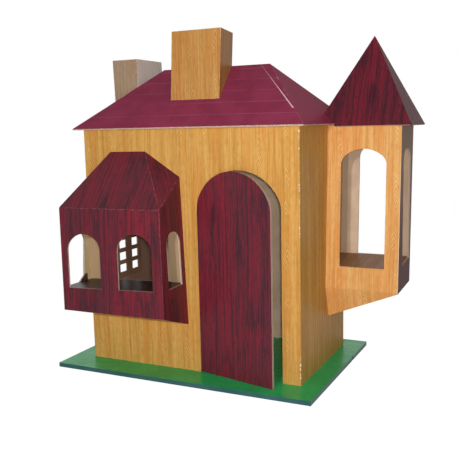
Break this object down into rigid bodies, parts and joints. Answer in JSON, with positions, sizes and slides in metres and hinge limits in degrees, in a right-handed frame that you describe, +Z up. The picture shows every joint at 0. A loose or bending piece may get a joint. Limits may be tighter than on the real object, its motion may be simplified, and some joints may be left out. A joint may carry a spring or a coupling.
{
  "type": "cardboard castle",
  "caption": "Folded card play castle with a hipped roof, bay window, corner turret, chimneys and an arched door that swings.",
  "frame": {"origin": "centre of the baseboard's underside, where the castle rests", "axes": "+Z up, +X from the bay window's side towards the turret, -Y towards the side with the door"},
  "size_m": [0.58, 0.3472, 0.5781],
  "materials": {
    "green_foil_board": "semi-gloss green foil over thick corrugated board, dark cut edges",
    "oak_foil_card": "semi-gloss oak-grain foil over corrugated card, tan inside",
    "faded_oak_foil_card": "faded oak-grain foil over thin card",
    "mahogany_foil_card": "semi-gloss mahogany-grain foil over card, tan inside",
    "crimson_roof_card": "matt crimson paper over card with scored courses",
    "pale_card": "thin pale card with cut panes"
  },
  "bodies": {
    "castle": {"baseboard": "green_foil_board", "house_walls": "oak_foil_card", "lattice_window": "pale_card", "main_roof": "crimson_roof_card", "front_chimney": "oak_foil_card", "left_chimney": "faded_oak_foil_card", "bay_window": "mahogany_foil_card", "bay_floor": "mahogany_foil_card", "bay_underside": "oak_foil_card", "turret_walls": "oak_foil_card", "turret_floor": "oak_foil_card", "turret_underside": "oak_foil_card", "turret_roof": "mahogany_foil_card"},
    "door": {"door": "mahogany_foil_card"}
  },
  "joints": [
    {"name": "door_hinge", "type": "hinge", "parent": "castle", "child": "door", "pos_m": [0.022, -0.1066, 0.0075], "axis": [0, 0, -1], "range_deg": [-13, 87]}
  ]
}
